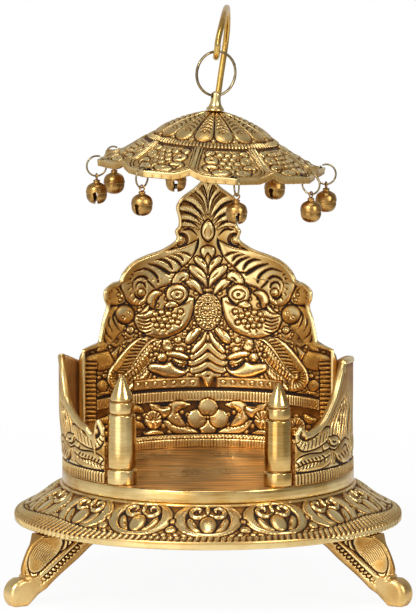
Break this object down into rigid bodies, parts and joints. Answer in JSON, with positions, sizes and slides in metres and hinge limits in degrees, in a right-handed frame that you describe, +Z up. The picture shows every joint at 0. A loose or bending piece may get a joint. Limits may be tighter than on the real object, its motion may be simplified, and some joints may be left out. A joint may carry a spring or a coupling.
{
  "type": "deity throne with hanging canopy",
  "caption": "Round brass deity throne on tripod legs with a carved curved back, low side walls, bullet pillars and a belled umbrella canopy hung from a bent rod.",
  "frame": {"origin": "centre of the bounding box at the level of the feet's undersides", "axes": "+Z up, the sitter looks along -Y, +X to the right as the throne is seen from the front"},
  "size_m": [0.1632, 0.1694, 0.2307],
  "materials": {
    "antique_brass": "cast relief, dark patina in the hollows, buffed on the highs",
    "bright_brass": "turned and polished",
    "seat_brass": "brushed across the seat",
    "rod_brass": "drawn wire, polished",
    "ring_brass": "dull drawn wire",
    "bell_bronze": "satin pressed bronze",
    "screw_steel": "plain machine screws and nuts"
  },
  "bodies": {
    "throne": {"base_flange": "antique_brass", "seat_drum": "seat_brass", "leg_front_left": "antique_brass", "leg_front_left_screw": "screw_steel", "leg_front_right": "antique_brass", "leg_front_right_screw": "screw_steel", "leg_rear": "antique_brass", "leg_rear_screw": "screw_steel", "back_panel": "antique_brass", "arm_right": "antique_brass", "arm_left": "antique_brass", "panel_screw_1": "screw_steel", "panel_screw_2": "screw_steel", "panel_screw_3": "screw_steel", "panel_screw_4": "screw_steel", "arm_screw_1": "screw_steel", "arm_screw_2": "screw_steel", "arm_screw_3": "screw_steel", "arm_screw_4": "screw_steel", "pillar_left": "bright_brass", "pillar_left_nut": "screw_steel", "pillar_right": "bright_brass", "pillar_right_nut": "screw_steel", "rod_socket": "bright_brass"},
    "rod": {"canopy_rod": "rod_brass"},
    "ring": {"hanging_ring": "ring_brass"},
    "umbrella": {"canopy": "antique_brass", "finial": "bright_brass", "finial_nut": "bright_brass"},
    "link_1": {"bell_ring_1": "ring_brass"},
    "bell_body_1": {"bell_1": "bell_bronze", "bell_pellet_1": "screw_steel"},
    "link_2": {"bell_ring_2": "ring_brass"},
    "bell_body_2": {"bell_2": "bell_bronze", "bell_pellet_2": "screw_steel"},
    "link_3": {"bell_ring_3": "ring_brass"},
    "bell_body_3": {"bell_3": "bell_bronze", "bell_pellet_3": "screw_steel"},
    "link_4": {"bell_ring_4": "ring_brass"},
    "bell_body_4": {"bell_4": "bell_bronze", "bell_pellet_4": "screw_steel"},
    "link_5": {"bell_ring_5": "ring_brass"},
    "bell_body_5": {"bell_5": "bell_bronze", "bell_pellet_5": "screw_steel"},
    "link_6": {"bell_ring_6": "ring_brass"},
    "bell_body_6": {"bell_6": "bell_bronze", "bell_pellet_6": "screw_steel"},
    "link_7": {"bell_ring_7": "ring_brass"},
    "bell_body_7": {"bell_7": "bell_bronze", "bell_pellet_7": "screw_steel"},
    "link_8": {"bell_ring_8": "ring_brass"},
    "bell_body_8": {"bell_8": "bell_bronze", "bell_pellet_8": "screw_steel"}
  },
  "joints": [
    {"name": "rod_lift", "type": "slide", "parent": "throne", "child": "rod", "axis": [0, 0, 1], "range_m": [0, 0.03]},
    {"name": "ring_swing", "type": "hinge", "parent": "rod", "child": "ring", "pos_m": [0.0032, -0.0117, 0.215], "axis": [-0.4695, 0.8829, 0], "range_deg": [-2.5, 2.5]},
    {"name": "canopy_tip", "type": "hinge", "parent": "ring", "child": "umbrella", "pos_m": [0.0032, -0.0117, 0.1986], "axis": [0.8829, 0.4695, 0], "range_deg": [-2.5, 8]},
    {"name": "link_swing_1", "type": "hinge", "parent": "umbrella", "child": "link_1", "pos_m": [0.04394, -0.00266, 0.16816], "axis": [0.2079, -0.9781, 0], "range_deg": [-8, 0]},
    {"name": "bell_swing_1", "type": "hinge", "parent": "link_1", "child": "bell_body_1", "pos_m": [0.04711, -0.00198, 0.16181], "axis": [0.9781, 0.2079, 0], "range_deg": [-8, 8]},
    {"name": "link_swing_2", "type": "hinge", "parent": "umbrella", "child": "link_2", "pos_m": [0.02513, 0.02478, 0.16943], "axis": [0.8387, -0.5446, 0], "range_deg": [-8, 0]},
    {"name": "bell_swing_2", "type": "hinge", "parent": "link_2", "child": "bell_body_2", "pos_m": [0.02689, 0.0275, 0.16308], "axis": [0.5446, 0.8387, 0], "range_deg": [-8, 8]},
    {"name": "link_swing_3", "type": "hinge", "parent": "umbrella", "child": "link_3", "pos_m": [-0.01193, 0.02967, 0.17194], "axis": [0.9511, 0.309, 0], "range_deg": [-8, 0]},
    {"name": "bell_swing_3", "type": "hinge", "parent": "link_3", "child": "bell_body_3", "pos_m": [-0.01293, 0.03275, 0.16559], "axis": [-0.309, 0.9511, 0], "range_deg": [-8, 8]},
    {"name": "link_swing_4", "type": "hinge", "parent": "umbrella", "child": "link_4", "pos_m": [-0.03492, 0.01199, 0.17349], "axis": [0.5446, 0.8387, 0], "range_deg": [-8, 0]},
    {"name": "bell_swing_4", "type": "hinge", "parent": "link_4", "child": "bell_body_4", "pos_m": [-0.03764, 0.01376, 0.16714], "axis": [-0.8387, 0.5446, 0], "range_deg": [-8, 8]},
    {"name": "link_swing_5", "type": "hinge", "parent": "umbrella", "child": "link_5", "pos_m": [-0.04097, -0.02074, 0.1739], "axis": [-0.2079, 0.9781, 0], "range_deg": [-8, 0]},
    {"name": "bell_swing_5", "type": "hinge", "parent": "link_5", "child": "bell_body_5", "pos_m": [-0.04414, -0.02142, 0.16755], "axis": [-0.9781, -0.2079, 0], "range_deg": [-8, 8]},
    {"name": "link_swing_6", "type": "hinge", "parent": "umbrella", "child": "link_6", "pos_m": [-0.02403, -0.04689, 0.17275], "axis": [-0.809, 0.5878, 0], "range_deg": [-8, 0]},
    {"name": "bell_swing_6", "type": "hinge", "parent": "link_6", "child": "bell_body_6", "pos_m": [-0.02593, -0.04951, 0.16641], "axis": [-0.5878, -0.809, 0], "range_deg": [-8, 8]},
    {"name": "link_swing_7", "type": "hinge", "parent": "umbrella", "child": "link_7", "pos_m": [0.01051, -0.05425, 0.17042], "axis": [-0.9781, -0.2079, 0], "range_deg": [-8, 0]},
    {"name": "bell_swing_7", "type": "hinge", "parent": "link_7", "child": "bell_body_7", "pos_m": [0.01118, -0.05742, 0.16407], "axis": [0.2079, -0.9781, 0], "range_deg": [-8, 8]},
    {"name": "link_swing_8", "type": "hinge", "parent": "umbrella", "child": "link_8", "pos_m": [0.03789, -0.03539, 0.16857], "axis": [-0.5446, -0.8387, 0], "range_deg": [-8, 0]},
    {"name": "bell_swing_8", "type": "hinge", "parent": "link_8", "child": "bell_body_8", "pos_m": [0.04061, -0.03716, 0.16222], "axis": [0.8387, -0.5446, 0], "range_deg": [-8, 8]}
  ]
}
